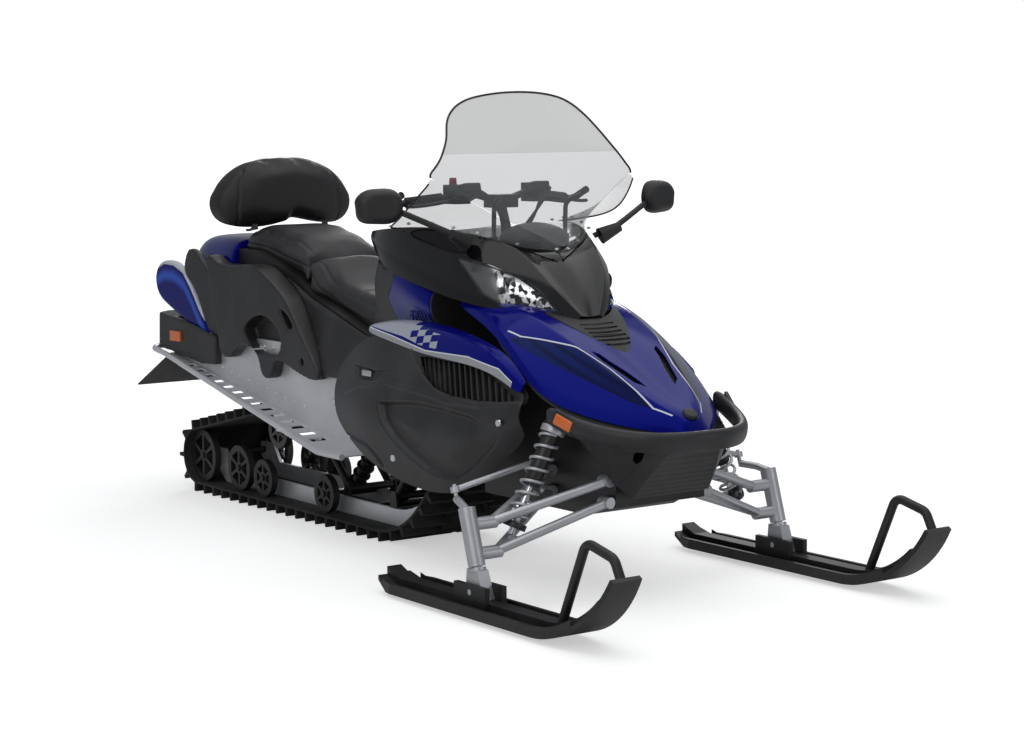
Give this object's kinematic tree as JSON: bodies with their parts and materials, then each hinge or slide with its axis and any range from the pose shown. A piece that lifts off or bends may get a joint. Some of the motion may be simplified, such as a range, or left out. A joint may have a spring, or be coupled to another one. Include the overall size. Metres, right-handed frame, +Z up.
{
  "type": "touring snowmobile",
  "caption": "Two-up touring snowmobile with steering skis, a lugged track on slide rails, a tall windshield and a backrest.",
  "frame": {"origin": "on the floor under the middle of the machine's length and width", "axes": "+X towards the ski tips, +Y to the rider's left, +Z up"},
  "size_m": [3.22, 1.25, 1.4286],
  "materials": {
    "track_rubber": "moulded, matt",
    "black_rubber": "moulded, matt",
    "raw_aluminium": "satin sheet",
    "cast_metal": "as cast",
    "black_plastic": "moulded, fine grain",
    "dark_plastic": "moulded, fine grain",
    "black_steel": "satin black paint",
    "silver_paint": "silver powder coat",
    "blue_paint": "deep blue, clear coat",
    "gloss_black": "gloss",
    "lamp_lens": "clear lens over a chrome reflector",
    "smoke_screen": "clear sheet, light smoke tint",
    "seat_cover": "grained vinyl",
    "amber_lens": "prismatic reflector",
    "red_lens": "red lens"
  },
  "bodies": {
    "root": {"backrest_frame": "black_steel", "backrest_pad": "seat_cover", "bogie_wheels": "black_plastic", "console": "gloss_black", "deflectors": "dark_plastic", "drive_axle": "black_plastic", "engine_block": "cast_metal", "front_bumper": "dark_plastic", "front_frame": "raw_aluminium", "grilles": "black_plastic", "headlights": "lamp_lens", "hitch": "black_steel", "hood": "blue_paint", "hood_vent": "black_plastic", "knee_panels": "blue_paint", "knuckles": "silver_paint", "mirrors": "black_plastic", "nose_cowl": "dark_plastic", "passenger_pods": "dark_plastic", "passenger_seat": "seat_cover", "rear_bumper": "raw_aluminium", "rear_cowl": "dark_plastic", "rear_idlers": "black_plastic", "reflectors": "amber_lens", "rider_seat": "seat_cover", "running_board_left": "raw_aluminium", "running_board_right": "raw_aluminium", "screen_stays": "black_steel", "seat_base": "dark_plastic", "seat_skirts": "dark_plastic", "shocks": "black_steel", "side_panel_left": "dark_plastic", "side_panel_right": "dark_plastic", "slide_rails": "raw_aluminium", "snow_flap": "black_rubber", "suspension_arms": "black_steel", "tail_cowl": "blue_paint", "tail_fins": "blue_paint", "tail_lamp": "red_lens", "track": "track_rubber", "track_shocks": "black_steel", "tunnel": "raw_aluminium", "upper_cowl": "gloss_black", "upper_panels": "blue_paint", "windshield": "smoke_screen", "wishbones": "silver_paint"},
    "handlebar": {"handlebar": "black_steel", "hand_grips": "black_rubber", "switch_pods": "black_plastic"},
    "ski_right": {"ski_right": "black_plastic", "spindle_right": "silver_paint"},
    "ski_left": {"ski_left": "black_plastic", "spindle_left": "silver_paint"},
    "tie_rod_right": {"tie_rod_right": "silver_paint"},
    "tie_rod_left": {"tie_rod_left": "silver_paint"}
  },
  "joints": [
    {"name": "steer", "type": "hinge", "parent": "root", "child": "handlebar", "pos_m": [0.47, 0, 0.64], "axis": [-0.352, 0, 0.936], "range_deg": [-30, 30]},
    {"name": "ski_right_steer", "type": "hinge", "parent": "root", "child": "ski_right", "pos_m": [0.962, -0.549, 0.092], "axis": [-0.2927, 0, 0.9562], "range_deg": [-28, 28]},
    {"name": "tie_rod_right_swing", "type": "hinge", "parent": "ski_right", "child": "tie_rod_right", "pos_m": [0.81, -0.519, 0.298], "axis": [-0.2927, 0, 0.9562], "range_deg": [-28, 28]},
    {"name": "ski_left_steer", "type": "hinge", "parent": "root", "child": "ski_left", "pos_m": [0.962, 0.549, 0.092], "axis": [-0.2927, 0, 0.9562], "range_deg": [-28, 28]},
    {"name": "tie_rod_left_swing", "type": "hinge", "parent": "ski_left", "child": "tie_rod_left", "pos_m": [0.81, 0.519, 0.298], "axis": [-0.2927, 0, 0.9562], "range_deg": [-28, 28]}
  ],
  "couplings": [
    {"joint": "ski_right_steer", "follows": "steer", "ratio": 0.9},
    {"joint": "tie_rod_right_swing", "follows": "steer", "ratio": -0.9},
    {"joint": "ski_left_steer", "follows": "steer", "ratio": 0.9},
    {"joint": "tie_rod_left_swing", "follows": "steer", "ratio": -0.9}
  ]
}
